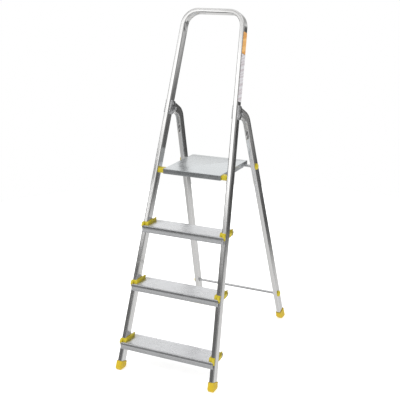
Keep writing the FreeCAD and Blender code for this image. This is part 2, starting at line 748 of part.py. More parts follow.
front_frame()
for tread_index in TREADS:
    tread(tread_index)
for side_name, side_sign in SIDES:
    foot(f"front_foot_{side_name}", stile_frame(side_sign), "stile_width", "stile_depth", "foot_height")
    foot(f"rear_foot_{side_name}", leg_frame(side_sign), "leg_width", "leg_depth", "rear_foot_height")
    hinge(side_name, side_sign)
    rear_leg(side_name, side_sign)
bracket_rivets()
keep("rod_rings", group("rod_rings", cross_rod("lower", d.rod_low) + cross_rod("upper", d.rod_high)))
platform()
stickers()
keep("tread_rivets", group("tread_rivets", [
    tread_rivet(f"rivet_tread_{index}_{name}", side, d.tread_first + (index - 1) * d.tread_rise, True)
    for index in TREADS for name, side in SIDES]))

doc.recompute()
for item in doc.Objects:
    if "Invalid" in item.State or "Error" in item.State:
        raise RuntimeError(f"{item.Name} did not build: {item.State}")
for name, item in nodes.items():
    if item.Shape.isNull() or not item.Shape.isValid():
        raise RuntimeError(f"{name} has no valid shape")

os.makedirs("parts", exist_ok=True)
for name, item in nodes.items():
    item.Shape.exportStep(f"parts/{name}.step")
whole = Part.makeCompound([item.Shape for item in nodes.values()]).BoundBox
print(f"{len(nodes)} pieces, X {whole.XMin:.1f} to {whole.XMax:.1f}, "
      f"Y {whole.YMin:.1f} to {whole.YMax:.1f}, Z {whole.ZMin:.1f} to {whole.ZMax:.1f}")
print(f"hinge pin at Y {pin_back:.2f}, Z {pin_height:.2f}; "
      f"platform pivot at Y {PIVOT_Y:.2f}, Z {PIVOT_Z:.2f}")
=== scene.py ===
import json
import math

import bmesh
import bpy
from mathutils import Matrix, Vector


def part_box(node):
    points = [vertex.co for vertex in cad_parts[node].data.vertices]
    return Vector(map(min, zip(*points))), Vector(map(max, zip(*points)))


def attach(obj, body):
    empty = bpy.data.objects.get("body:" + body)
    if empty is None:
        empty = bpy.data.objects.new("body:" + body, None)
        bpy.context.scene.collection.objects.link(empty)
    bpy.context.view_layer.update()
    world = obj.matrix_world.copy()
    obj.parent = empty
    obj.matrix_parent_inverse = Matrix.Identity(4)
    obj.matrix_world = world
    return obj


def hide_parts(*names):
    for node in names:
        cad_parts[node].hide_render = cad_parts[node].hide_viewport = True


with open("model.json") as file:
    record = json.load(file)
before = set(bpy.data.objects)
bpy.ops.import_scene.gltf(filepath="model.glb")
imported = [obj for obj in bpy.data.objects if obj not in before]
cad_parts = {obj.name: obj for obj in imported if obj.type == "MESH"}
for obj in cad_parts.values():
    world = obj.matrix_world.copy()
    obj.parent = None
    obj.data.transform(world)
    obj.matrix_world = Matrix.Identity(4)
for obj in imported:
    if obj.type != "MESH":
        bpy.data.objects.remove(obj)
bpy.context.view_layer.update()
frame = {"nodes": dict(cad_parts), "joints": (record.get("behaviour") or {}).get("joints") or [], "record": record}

SIDES = (("left", -1), ("right", 1))
TREADS = (1, 2, 3)
NODE_BODY = {node: body
             for body, nodes in frame["record"]["behaviour"]["bodies"].items()
             for node in nodes}
NODE_SLOT = {row["node"]: row["material_slot"] for row in frame["record"]["subparts"]}
JOINTS = {joint["name"]: Vector(joint["pos_m"]) for joint in frame["joints"]}
MM = 0.001

# The ladder's design, as in the CAD model. Lengths are in metres from here on.
FRONT_LEAN = math.radians(18.93)
FRONT_SPLAY = math.radians(3.13)
REAR_LEAN = math.radians(16.8)
REAR_SPLAY = math.radians(3.08)
STILE_WIDTH, STILE_DEPTH = 20 * MM, 40 * MM
STILE_START = 24 * MM    # along a stile, from the floor to the tube's end inside the boot
RAIL_HEIGHT, RAIL_RADIUS = 1569 * MM, 65 * MM    # of the tube's middle line, up the frame's plane
LEG_WIDTH, LEG_DEPTH = 20 * MM, 40 * MM
LEG_FRONT = 14 * MM      # from a leg's front face to the line that its bend, pin and rods lie on
LEG_START, LEG_STRAIGHT = 12 * MM, 1059.4 * MM    # from the floor to the tube's end and to its bend
LEG_RADIUS, LEG_BEND = 61 * MM, math.radians(43.2)
LEG_REACH, LEG_END = 41.1 * MM, 7 * MM    # from the bend to the hinge pin, and on past the pin
TUBE_CORNER = 3.8 * MM
TREAD_FRONT = 14 * MM    # from a tread's front edge to the stile's front face, at the tread's top
# A collar's ears outside the tread's end, its rim past the stile's inner and front faces, its
# height above the tread and its length behind the stile.
COLLAR_EAR, COLLAR_SIDE, COLLAR_NOSE = 4 * MM, 7 * MM, 5 * MM
COLLAR_RISE, COLLAR_TAIL = 14 * MM, 28 * MM
BRACKET_HEIGHT, BRACKET_PLATE = 58 * MM, 2 * MM
FOOT_WALL = 4.5 * MM
FRONT_FOOT_HEIGHT, REAR_FOOT_HEIGHT = 42 * MM, 36 * MM
BOOT_CORNER = 8 * MM     # radius of a boot's corners, seen from above
SOLE_ROUND = 17.0        # height above the floor where a boot starts to round off, in millimetres
TOE_TUCK = 8 * MM        # how far a boot's toe lies back at the floor
CROWN = 0.2 * MM         # how far a tube's flat faces bulge in their middles
RIVET_HEAD, RIVET_SHANK = 4.5 * MM, 2.5 * MM     # radii
BRACKET_RIVET = 17.4 * MM      # from the hinge pin to the rivet above or below it, along the stile

# Turns an outline drawn in (Y, Z) so that a prism or tube drawn in local XY stands along X.
UPRIGHT = Matrix(((0, 0, 1, 0), (1, 0, 0, 0), (0, 1, 0, 0), (0, 0, 0, 1)))

# Places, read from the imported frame.
HINGE = JOINTS["rear_fold"]
PIVOT = JOINTS["platform_fold"]
TREAD_BOX = {number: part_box(f"tread_{number}") for number in TREADS}
FIRST_LOW, FIRST_HIGH = TREAD_BOX[1]
FRONT_Y = FIRST_LOW.y + TREAD_FRONT - FIRST_HIGH.z * math.tan(FRONT_LEAN)
NARROWING = math.tan(FRONT_SPLAY) / math.cos(FRONT_LEAN)
HALF_SPREAD = FIRST_HIGH.x + COLLAR_EAR + FIRST_HIGH.z * NARROWING
STILE_SLICE = STILE_DEPTH / math.cos(FRONT_LEAN)
PIN_ACROSS = LEG_FRONT - LEG_RADIUS * (1 - math.cos(LEG_BEND)) - LEG_REACH * math.sin(LEG_BEND)
PIN_ALONG = LEG_STRAIGHT + LEG_RADIUS * math.sin(LEG_BEND) + LEG_REACH * math.cos(LEG_BEND)
HINGE_SETBACK = (HINGE.y - FRONT_Y) * math.cos(FRONT_LEAN) - HINGE.z * math.sin(FRONT_LEAN)
HINGE_CLIMB = (HINGE.y - FRONT_Y) * math.sin(FRONT_LEAN) + HINGE.z * math.cos(FRONT_LEAN)
HINGE_ALONG = HINGE_CLIMB / math.cos(FRONT_SPLAY)
HINGE_ASIDE = HALF_SPREAD - STILE_WIDTH / 2 - HINGE_ALONG * math.sin(FRONT_SPLAY)
LEG_EDGE = (HINGE.y - PIN_ACROSS * math.cos(REAR_LEAN)
            + PIN_ALONG * math.cos(REAR_SPLAY) * math.sin(REAR_LEAN))


def frame_matrix():
    """The front frame's own plane: X across, Y from front to back, Z up along the stiles."""
    return Matrix.Translation((0, FRONT_Y, 0)) @ Matrix.Rotation(-FRONT_LEAN, 4, "X")


def stile_matrix(side):
    """A stile's own axes, on the floor: X across it from its middle, Y back from its front face."""
    place = Matrix.Translation((side * (HALF_SPREAD - STILE_WIDTH / 2), FRONT_Y, 0))
    return place @ Matrix.Rotation(-FRONT_LEAN, 4, "X") @ Matrix.Rotation(-side * FRONT_SPLAY, 4, "Y")


def leg_matrix(side):
    """A rear leg's own axes, on the floor: X across it from its middle, Y back from its front face."""
    place = Matrix.Translation((side * (HINGE_ASIDE + PIN_ALONG * math.sin(REAR_SPLAY)), LEG_EDGE, 0))
    return place @ Matrix.Rotation(REAR_LEAN, 4, "X") @ Matrix.Rotation(-side * REAR_SPLAY, 4, "Y")


def stile_outside(height):
    """How far a stile's outer face is from the middle of the ladder at a height."""
    return HALF_SPREAD - height * NARROWING


def stile_front(height):
    """Where the stiles' front faces are at a height, from front to back."""
    return FRONT_Y + height * math.tan(FRONT_LEAN)


# Mesh tools.

def mesh_object(name, mesh, sharp=32):
    mesh.shade_smooth()
    mesh.set_sharp_from_angle(angle=math.radians(sharp))
    item = bpy.data.objects.new(name, mesh)
    bpy.context.scene.collection.objects.link(item)
    return item


def from_bmesh(name, shape, sharp=32):
    bmesh.ops.recalc_face_normals(shape, faces=shape.faces)
    mesh = bpy.data.meshes.new(name)
    shape.to_mesh(mesh)
    shape.free()
    return mesh_object(name, mesh, sharp)


def bevel_edges(shape, width, segments=3, least=25):
    edges = [edge for edge in shape.edges
             if len(edge.link_faces) == 2 and edge.calc_face_angle(0) > math.radians(least)]
    bmesh.ops.bevel(shape, geom=edges, offset=width, segments=segments, profile=0.5,
                    affect="EDGES", clamp_overlap=True)


def round_corners(corners, radius, steps=5):
    """An outline with every corner turned into an arc of about the given radius."""
    outline = []
    count = len(corners)
    for index, corner in enumerate(corners):
        here = Vector(corner)
        before = Vector(corners[index - 1]) - here
        after = Vector(corners[(index + 1) % count]) - here
        reach = min(radius, before.length * 0.45, after.length * 0.45)
        start = here + before.normalized() * reach
        end = here + after.normalized() * reach
        for step in range(steps + 1):
            t = step / steps
            outline.append(start * (1 - t) ** 2 + here * 2 * t * (1 - t) + end * t ** 2)
    return outline


def prism(outline, low, high, matrix, bevel=0.0, segments=3):
    """A bmesh of an outline in local XY, from Z low to Z high, with its edges rounded."""
    shape = bmesh.new()
    bottom = [shape.verts.new((point[0], point[1], low)) for point in outline]
    top = [shape.verts.new((point[0], point[1], high)) for point in outline]
    shape.faces.new(bottom)
    shape.faces.new(top)
    count = len(outline)
    for index in range(count):
        following = (index + 1) % count
        shape.faces.new((bottom[index], bottom[following], top[following], top[index]))
    bmesh.ops.recalc_face_normals(shape, faces=shape.faces)
    if bevel:
        bevel_edges(shape, bevel, segments)
    shape.transform(matrix)
    return shape


def lathe(profile, matrix, steps=40):
    """A bmesh turned round local Z from (radius, z) points; a radius of 0 closes it."""
    shape = bmesh.new()
    rings = []
    for radius, z in profile:
        if radius == 0:
            rings.append([shape.verts.new((0, 0, z))])
            continue
        turns = [2 * math.pi * step / steps for step in range(steps)]
        rings.append([shape.verts.new((radius * math.cos(t), radius * math.sin(t), z)) for t in turns])
    for low, high in zip(rings, rings[1:]):
        for step in range(steps):
            following = (step + 1) % steps
            if len(low) == 1:
                shape.faces.new((low[0], high[step], high[following]))
            elif len(high) == 1:
                shape.faces.new((low[step], low[following], high[0]))
            else:
                shape.faces.new((low[step], low[following], high[following], high[step]))
    shape.transform(matrix)
    return shape


def joined(name, shapes, sharp=32):
    """One object from several closed shapes."""
    whole = bmesh.new()
    for shape in shapes:
        bmesh.ops.recalc_face_normals(shape, faces=shape.faces)
        part = bpy.data.meshes.new("part")
        shape.to_mesh(part)
        shape.free()
        whole.from_mesh(part)
        bpy.data.meshes.remove(part)
    mesh = bpy.data.meshes.new(name)
    whole.to_mesh(mesh)
    whole.free()
    return mesh_object(name, mesh, sharp)


def carved(item, cutters):
    """Takes the cutters' space out of an object and removes the cutters."""
    for cutter in cutters:
        modifier = item.modifiers.new("carve", "BOOLEAN")
        modifier.operation = "DIFFERENCE"
        modifier.solver = "EXACT"
        modifier.object = cutter
    bpy.context.view_layer.update()
    shown = item.evaluated_get(bpy.context.evaluated_depsgraph_get())
    mesh = bpy.data.meshes.new_from_object(shown)
    item.modifiers.clear()
    item.data = mesh
    mesh.shade_smooth()
    mesh.set_sharp_from_angle(angle=math.radians(32))
    for cutter in cutters:
        bpy.data.objects.remove(cutter)


def metres(points):
    """Points written in millimetres, in metres."""
    return [(first * MM, second * MM) for first, second in points]


def rectangle(low_x, low_y, high_x, high_y):
    return [(low_x, low_y), (high_x, low_y), (high_x, high_y), (low_x, high_y)]


def cutter_box(low, high, matrix):
    """A box that takes away, between two corners."""
    outline = rectangle(low[0], low[1], high[0], high[1])
    return from_bmesh("cutter", prism(outline, low[2], high[2], matrix))


def axis_matrix(spot, direction):
    """Puts local Z along a direction, at a spot."""
    return Matrix.Translation(spot) @ Vector(direction).to_track_quat("Z", "Y").to_matrix().to_4x4()


# Bent tubes.

CORNER_STEPS, SIDE_STEPS = 5, 12     # points round a section's corner and along each of its two sides
BEND_STEPS = 22                      # stations along a bend
STATION_GAP = 12 * MM                # between stations on a straight run
ROLL_START, ROLL_WIDTH = 4 * MM, 6 * MM     # the strip of a side that is rolled back, from its middle
ROLL_FADE = 12 * MM                  # from a bend to where the roll is at its full depth
DENT_RISE, DENT_FALL = 0.55, 0.3     # shares of a dent's lengths before and after a bend


def tube_ring(thick, wide, corner, parts):
    """Points round a section, as (across the bend, along the bend's axis). The parts are points on
    its inner face and on its outer face."""
    x, y = thick / 2 - corner, wide / 2 - corner
    points = []

    def run(start, end, count):
        for step in range(count):
            t = step / count
            points.append((start[0] + (end[0] - start[0]) * t, start[1] + (end[1] - start[1]) * t))

    def turn(centre, start):
        for step in range(CORNER_STEPS):
            angle = start + math.pi / 2 * step / CORNER_STEPS
            points.append((centre[0] + corner * math.cos(angle), centre[1] + corner * math.sin(angle)))

    def crowned(point):
        """Lets a face sink towards its edges, so that its middle stands proud."""
        px, py = point
        return (px - math.copysign(CROWN * (py / (wide / 2)) ** 2, px) * (abs(px) > x),
                py - math.copysign(CROWN * (px / (thick / 2)) ** 2, py) * (abs(py) > y))

    run((-thick / 2, y), (-thick / 2, -y), parts)
    turn((-x, -y), math.pi)
    run((-x, -wide / 2), (x, -wide / 2), SIDE_STEPS)
    turn((x, -y), 1.5 * math.pi)
    run((thick / 2, -y), (thick / 2, y), parts)
    turn((x, y), 0)
    run((x, wide / 2), (-x, wide / 2), SIDE_STEPS)
    turn((-x, y), math.pi / 2)
    return [crowned(point) for point in points]


def arc_steps(radius, turn, count):
    """(ahead, aside, heading) along an arc that turns to the left."""
    for step in range(1, count + 1):
        angle = turn * step / count
        yield radius * math.sin(angle), radius * (1 - math.cos(angle)), angle


def bent_path(runs):
    """Stations along straight runs and left-hand bends, each (x, y, heading, distance).
    A run is ("line", length) or ("bend", radius, angle); headings start along +Y."""
    x = y = heading = distance = 0.0
    stations = [(x, y, heading, distance)]
    bends = []
    for run in runs:
        if run[0] == "line":
            count = max(2, int(run[1] / STATION_GAP))
            for step in range(1, count + 1):
                ahead = run[1] * step / count
                stations.append((x - ahead * math.sin(heading), y + ahead * math.cos(heading),
                                 heading, distance + ahead))
            length = run[1]
        else:
            length = run[1] * run[2]
            bends.append((distance, distance + length))
            for ahead, aside, turn in arc_steps(run[1], run[2], BEND_STEPS):
                stations.append((x - ahead * math.sin(heading) - aside * math.cos(heading),
                                 y + ahead * math.cos(heading) - aside * math.sin(heading),
                                 heading + turn, distance + run[1] * turn))
        x, y, heading = stations[-1][:3]
        distance += length
    return stations, bends


def smooth_step(low, high, value):
    """A soft step from 0 at low to 1 at high; high may be the smaller of the two."""
    t = min(1.0, max(0.0, (value - low) / (high - low)))
    return t * t * (3 - 2 * t)


def bent_tube(name, runs, ring, thick, wide, matrix, dent, before, after, shift=0.0, rolled=0.0):
    """Sweeps a section along a path in local XY. At each bend its inner wall is pressed in by the
    dent, which starts a length before the bend and ends a length after it. The section's middle
    lies to the right of the path by the shift. Between two bends the inner edges are rolled back."""
    stations, bends = bent_path(runs)
    shape = bmesh.new()
    uv = shape.loops.layers.uv.new("UVMap")
    rings = []
    around = [0.0]
    for first, second in zip(ring, ring[1:] + ring[:1]):
        around.append(around[-1] + math.dist(first, second))
    for x, y, heading, distance in stations:
        pressed = 0.0
        for start, end in bends:
            # A dent deepens before a bend starts, and is shallower from just before the bend's end.
            rise = smooth_step(start - before, start - before * DENT_RISE, distance)
            fall = smooth_step(end + after, end - after * DENT_FALL, distance)
            pressed = max(pressed, rise * fall)
        between = smooth_step(bends[0][1], bends[0][1] + ROLL_FADE, distance)
        between *= smooth_step(bends[-1][0], bends[-1][0] - ROLL_FADE, distance)
        line = []
        for across, along in ring:
            # Only the inner face is pressed in, most of all in its middle.
            inner = smooth_step(-thick * 0.25, -thick * 0.5, across) if across < 0 else 0.0
            turn = min(1.0, abs(along) / (wide * 0.46))
            hollow = 0.5 + 0.5 * math.cos(math.pi * turn)
            out = across + shift + dent * pressed * inner * hollow
            if abs(along) > wide / 2 - 0.5 * MM:
                low = max(0.0, (-across - ROLL_START) / ROLL_WIDTH)
                along -= math.copysign(rolled * between * low ** 2, along)
            place = (x + out * math.cos(heading), y + out * math.sin(heading), along)
            line.append(shape.verts.new(place))
        rings.append(line)
    count = len(ring)
    for low, high, first, second in zip(rings, rings[1:], stations, stations[1:]):
        for index in range(count):
            following = (index + 1) % count
            face = shape.faces.new((low[index], low[following], high[following], high[index]))
            ends = ((index, first), (index + 1, first), (index + 1, second), (index, second))
            for loop, (step, station) in zip(face.loops, ends):
                loop[uv].uv = (around[step], station[3])
    shape.faces.new(rings[0])
    shape.faces.new(rings[-1])
    shape.transform(matrix)
    return from_bmesh(name, shape, 40)


# Pieces.

def show(item, node):
    """Makes an object stand for a CAD node."""
    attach(item, NODE_BODY[node])
    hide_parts(node)
    item.data.materials.clear()
    item.data.materials.append(MATERIALS[NODE_SLOT[node]])


def build_front_frame():
    """Both stiles and the handrail, bent from one tube."""
    half = HALF_SPREAD - STILE_WIDTH / 2
    start = STILE_START * math.cos(FRONT_SPLAY)
    foot = half - STILE_START * math.sin(FRONT_SPLAY)
    corner = foot - (RAIL_HEIGHT - start) * math.tan(FRONT_SPLAY)
    turn = math.pi / 2 - FRONT_SPLAY
    cut = RAIL_RADIUS * math.tan(turn / 2)
    side = (RAIL_HEIGHT - start) / math.cos(FRONT_SPLAY) - cut
    runs = [("line", side), ("bend", RAIL_RADIUS, turn), ("line", 2 * (corner - cut)),
            ("bend", RAIL_RADIUS, turn), ("line", side)]
    # The path starts at the right foot and turns left, so its plane faces the user.
    plane = Matrix(((1, 0, 0, 0), (0, 0, -1, 0), (0, 1, 0, 0), (0, 0, 0, 1)))
    place = (frame_matrix() @ Matrix.Translation((foot, STILE_DEPTH / 2, start))
             @ Matrix.Rotation(-FRONT_SPLAY, 4, "Y") @ plane)
    ring = tube_ring(STILE_WIDTH, STILE_DEPTH, TUBE_CORNER, parts=14)
    item = bent_tube("front_frame_tube", runs, ring, STILE_WIDTH, STILE_DEPTH, place,
                     dent=9 * MM, before=18 * MM, after=18 * MM, rolled=1.6 * MM)
    show(item, "front_frame")


def build_leg(name, side):
    """A rear leg, from its boot up to its bend and on to the hinge pin."""
    runs = [("line", LEG_STRAIGHT - LEG_START), ("bend", LEG_RADIUS, LEG_BEND),
            ("line", LEG_REACH + LEG_END)]
    place = leg_matrix(side) @ Matrix.Translation((0, LEG_FRONT, LEG_START)) @ UPRIGHT
    ring = tube_ring(LEG_DEPTH, LEG_WIDTH, TUBE_CORNER, parts=10)
    item = bent_tube(f"rear_leg_{name}_tube", runs, ring, LEG_DEPTH, LEG_WIDTH, place,
                     dent=17 * MM, before=66 * MM, after=12 * MM, shift=LEG_DEPTH / 2 - LEG_FRONT)
    show(item, f"rear_leg_{name}")


def tread_outline(depth):
    """The extrusion's section as (back from its front edge, up from its top), in millimetres:
    a tilted band, a rounded nose, a grooved top, and skirts with inward lips."""
    nose_back, nose_wide, nose_tall, nose_steps = 4.6, 3.6, 3.4, 6
    outline = [(0.05, -9.8), (0.25, -9.0), (0.95, -3.9)]
    for step in range(nose_steps + 1):
        angle = math.pi * (0.96 - 0.46 * step / nose_steps)
        outline.append((nose_back + nose_wide * math.cos(angle), -nose_tall + nose_tall * math.sin(angle)))
    first_groove, plain_ends, pitch = 9.0, 16, 5.6
    wide, deep, slant = 2.2, 0.8, 0.5
    for groove in range(int((depth - plain_ends) / pitch)):
        start = first_groove + groove * pitch
        end = start + wide
        outline += [(start, 0.0), (start + slant, -deep), (end - slant, -deep), (end, 0.0)]
    back_radius, back_steps = 3, 4
    for step in range(back_steps + 1):
        angle = math.pi / 2 - math.pi / 2 * step / back_steps
        outline.append((depth - back_radius + back_radius * math.cos(angle),
                        -back_radius + back_radius * math.sin(angle)))
    back_skirt = [(0.0, -8.0), (-1.2, -10.4), (-8.6, -17.2), (-10.6, -18.0), (-17, -18.0),
                  (-17, -16.2), (-11.2, -16.2), (-2.2, -7.6), (-2.2, -2.4)]
    outline += [(depth + y, z) for y, z in back_skirt]
    outline += [(3.6, -2.4), (3.0, -3.4), (3.0, -28.0), (7.0, -28.0), (7.0, -30.0),
                (1.1, -30.0), (0.4, -29.6), (0.12, -28.8), (0.0, -10.6)]
    return outline


def build_tread(number):
    """An extruded tread, notched round both stiles, and its two collars."""
    low, high = TREAD_BOX[number]
    outline = metres(tread_outline((high.y - low.y) / MM))
    place = Matrix.Translation((0, low.y, high.z)) @ UPRIGHT
    item = from_bmesh(f"tread_{number}_extrusion", prism(outline, low.x, high.x, place), 28)
    cutters = []
    gap, past_end, past_top = 0.4 * MM, 40 * MM, 1.0
    for side in (-1, 1):
        ends = sorted((side * (-STILE_WIDTH / 2 - gap), side * past_end))
        cutters.append(cutter_box((ends[0], -gap, 0), (ends[1], STILE_DEPTH + gap, past_top),
                                  stile_matrix(side)))
    carved(item, cutters)
    show(item, f"tread_{number}")
    for name, side in SIDES:
        build_collar(f"tread_{number}_collar_{name}", side, high.z)


def build_collar(node, side, height):
    """A moulded rim round the stile, an ear on each side of it and a plug inside the tread."""
    wide = STILE_WIDTH + COLLAR_SIDE
    gap = 0.15 * MM
    tail = STILE_SLICE + COLLAR_TAIL
    band = STILE_SLICE + 6 * MM
    wall = 4.5 * MM
    skirt, plug_low, plug_high = 1.0 * MM, -16 * MM, -2.6 * MM
    rim = [(-wide, -COLLAR_NOSE), (0, -COLLAR_NOSE), (0, -gap), (-STILE_WIDTH - gap, -gap),
           (-STILE_WIDTH - gap, STILE_SLICE + gap), (0, STILE_SLICE + gap), (0, tail), (-wall, tail),
           (-wall, band), (-STILE_WIDTH, band), (-STILE_WIDTH, tail), (-wide, tail)]
    slope = math.tan(FRONT_LEAN)
    plug_front, plug_back = -5 * MM, tail - 4 * MM
    plug = [(-wide, plug_front), (-COLLAR_EAR, plug_front), (-COLLAR_EAR, -gap),
            (-STILE_WIDTH - gap, -gap), (-STILE_WIDTH - gap, STILE_SLICE + gap),
            (-COLLAR_EAR, STILE_SLICE + gap), (-COLLAR_EAR, plug_back), (-wide, plug_back)]
    back = STILE_SLICE / MM
    # An ear is a plate beside the stile and a wider lip on top of the tread. Each has an outline in
    # millimetres, from the stile's front face and the tread's top, and a reach towards the middle.
    front_plate = [(-14, 2), (-14, -2), (-9, -12), (-4, -15), (-15 * slope, -15), (14 * slope, 14),
                   (-3, 14), (-9, 10)]
    front_lip = [(-14, 0.2), (-14, 2.4), (-9, 10), (-3, 14), (4, 14), (2, 0.2)]
    back_plate = [(back - 18 * slope, -15), (back + 14 * slope, 14), (back + 22, 14),
                  (back + 27.5, 9), (back + 29, 1), (back + 24, -9), (back + 12, -15)]
    back_lip = [(back, 0.2), (back + 4, 14), (back + 22, 14), (back + 27.5, 9), (back + 28.5, 0.2)]
    ears = ((front_plate, COLLAR_EAR), (front_lip, 10 * MM), (back_plate, COLLAR_EAR), (back_lip, 9 * MM))
    shapes = []
    flip = Matrix.Diagonal((side, 1, 1, 1))
    # The rim and the plug lean back with the stile.
    lean = Matrix(((1, 0, 0, 0), (0, 1, slope, 0), (0, 0, 1, 0), (0, 0, 0, 1)))
    place = Matrix.Translation((side * stile_outside(height), stile_front(height), height)) @ flip
    shapes.append(prism(rim, -skirt, COLLAR_RISE, place @ lean, 1.8 * MM))
    shapes.append(prism(plug, plug_low, plug_high, place @ lean, 0.8 * MM, 2))
    for ear, reach in ears:
        outline = round_corners(metres(ear), 3.5 * MM)
        shapes.append(prism(outline, -reach, 0.0, place @ UPRIGHT, 1.3 * MM, 3))
    show(joined(f"{node}_moulding", shapes), node)


def build_foot(node, matrix, width, depth, tall):
    """A moulded boot: a lipped socket that runs down to a rounded sole on the floor."""
    half_width = width / 2 + FOOT_WALL
    plan = rectangle(-half_width, -FOOT_WALL, half_width, depth + FOOT_WALL)
    ring = [Vector((x, y)) for x, y in round_corners(plan, BOOT_CORNER, 8)]
    middle = Vector((0, depth / 2))
    size = Vector((half_width, depth / 2 + FOOT_WALL))
    shape = bmesh.new()
    rings = []

    def inset(amount, tuck=0.0):
        """The plan, drawn in on all sides, with its front edge moved back by the tuck."""
        points = []
        for point in ring:
            spread = point - middle
            forward = max(0.0, -spread.y / size.y)
            points.append(middle + Vector((spread.x * (1 - amount / size.x),
                                           spread.y * (1 - amount / size.y) + tuck * forward)))
        return points

    # The socket's lip and the groove under it, as (inset, height along the tube), in millimetres.
    top = tall / MM
    lip = ((4.6, top - 4), (4.5, top - 0.6), (4.0, top), (1.6, top), (0.6, top - 0.6),
           (0.3, top - 1.8), (0.2, top - 5), (0.7, top - 6), (0.7, top - 7.5))
    for amount, along in lip:
        rings.append([matrix @ Vector((p.x, p.y, along * MM)) for p in inset(amount * MM)])
    # The sole's rounding, as (inset, height above the floor), in millimetres.
    sole = ((0.2, SOLE_ROUND), (0.0, 12.0), (0.1, 8.0), (0.6, 5.0), (1.4, 2.4), (2.6, 0.8),
            (3.6, 0.15), (4.4, 0.0))
    axis = matrix.to_3x3() @ Vector((0, 0, 1))
    for amount, height in sole:
        points = []
        for p in inset(amount * MM, TOE_TUCK * (1 - height / SOLE_ROUND) ** 2):
            base = matrix @ Vector((p.x, p.y, 0))
            points.append(base + axis * ((height * MM - base.z) / axis.z))
        rings.append(points)
    rows = [[shape.verts.new(point) for point in points] for points in rings]
    count = len(ring)
    for upper, lower in zip(rows, rows[1:]):
        for index in range(count):
            following = (index + 1) % count
            shape.faces.new((upper[index], upper[following], lower[following], lower[index]))
    shape.faces.new(rows[0])
    shape.faces.new(rows[-1])
    show(from_bmesh(f"{node}_boot", shape, 50), node)


def build_bracket(name, side):
    """Two cheeks with stepped sides, joined by strips behind the stile, and the hinge pin."""
    place = stile_matrix(side) @ Matrix.Translation((0, 0, HINGE_ALONG))
    tall = BRACKET_HEIGHT / 2
    front = 6 * MM
    back = STILE_DEPTH + BRACKET_PLATE
    upper = [(front, tall), (back, tall), (back + 2 * MM, tall / 2),
             (HINGE_SETBACK + 5 * MM, 7.5 * MM), (HINGE_SETBACK + 8 * MM, 3 * MM)]
    cheek = upper + [(x, -y) for x, y in reversed(upper)]
    pad = [(front, tall), (STILE_DEPTH, tall), (STILE_DEPTH, -tall), (front, -tall)]
    inner = STILE_WIDTH / 2 + BRACKET_PLATE
    outer = inner + BRACKET_PLATE
    shapes = []
    for hand in (-1, 1):
        ends = sorted((hand * inner, hand * outer))
        shapes.append(prism(round_corners(cheek, 6 * MM), ends[0], ends[1], place @ UPRIGHT, 0.7 * MM, 3))
        ends = sorted((hand * (STILE_WIDTH / 2 + 0.05 * MM), hand * (inner + 0.5 * MM)))
        shapes.append(prism(round_corners(pad, 5 * MM), ends[0], ends[1], place @ UPRIGHT, 0.5 * MM, 2))
    strip_half = inner + 0.5 * MM
    for low, high in ((17 * MM, tall - 1 * MM), (-tall + 1 * MM, -17 * MM)):
        strip = rectangle(-strip_half, STILE_DEPTH + 0.1 * MM, strip_half, STILE_DEPTH + 2 * MM)
        shapes.append(prism(strip, low, high, place, 0.4 * MM, 2))
    show(joined(f"hinge_bracket_{name}_cheeks", shapes), f"hinge_bracket_{name}")

    reach = outer + 0.5 * MM
    across = axis_matrix((side * HINGE_ASIDE, HINGE.y, HINGE.z), (1, 0, 0))
    shank = 4 * MM
    head = metres([(0, -2.5), (3.4, -2.45), (5.0, -1.9), (5.8, -1.0), (6.0, 0)])
    half = [(r, z - reach) for r, z in head]
    profile = half + [(shank, -reach), (shank, reach)] + [(r, -z) for r, z in reversed(half)]
    show(from_bmesh(f"hinge_pin_{name}_turned", lathe(profile, across), 45), f"hinge_pin_{name}")


def domed_rivet(matrix, radius, dome, shank, length):
    """A rivet along local Z: its head's flat side is at z = 0 and its shank runs to +Z."""
    profile = [(0, -dome), (radius * 0.45, -dome * 0.93), (radius * 0.78, -dome * 0.62),
               (radius * 0.96, -dome * 0.2), (radius, 0), (shank, 0), (shank, length), (0, length)]
    return lathe(profile, matrix, 28)


def build_rivets():
    """Rivets through brackets and stiles, a head on each side, and one through each skirt's end."""
    half = STILE_WIDTH / 2 + 2 * BRACKET_PLATE
    shapes = []
    for side in (-1, 1):
        stile = stile_matrix(side)
        for offset in (-1, 1):
            along = HINGE_ALONG + offset * BRACKET_RIVET
            for hand in (-1, 1):
                spot = stile @ Vector((hand * half, STILE_DEPTH * 0.6, along))
                inward = stile.to_3x3() @ Vector((-hand, 0, 0))
                shapes.append(domed_rivet(axis_matrix(spot, inward), RIVET_HEAD, 1.5 * MM,
                                          RIVET_SHANK, 12 * MM))
    show(joined("bracket_rivets_domed", shapes, 45), "bracket_rivets")
    shapes = []
    for number in TREADS:
        low, high = TREAD_BOX[number]
        for side in (-1, 1):
            x = side * (stile_outside(high.z) - STILE_WIDTH / 2)
            spot = (x, low.y + 0.1 * MM, (low.z + high.z) / 2)
            shapes.append(domed_rivet(axis_matrix(spot, (0, 1, 0)), RIVET_HEAD, 1.9 * MM,
                                      RIVET_SHANK, 5 * MM))
    show(joined("tread_rivets_domed", shapes, 45), "tread_rivets")


# Turned parts of the rods, as (radius, distance from the leg's face), in millimetres.
DOMED_CAP = [(6.0, 0.2), (13.2, 0.2), (13.8, 0.7), (14.0, 1.6), (13.9, 3.8), (13.2, 5.6),
             (11.6, 7.4), (8.8, 8.9), (5.0, 9.8), (0, 10.0)]
FLAT_CAP = [(6.0, 0.2), (13.2, 0.2), (13.8, 0.6), (14.0, 1.2), (13.8, 2.0), (12.9, 2.7),
            (8.0, 3.3), (0, 3.5)]
ROD_RING = [(6.1, 0.1), (8.6, 0.1), (9.0, 0.5), (9.0, 3.0), (8.2, 3.8), (6.1, 4.0), (6.1, 0.1)]


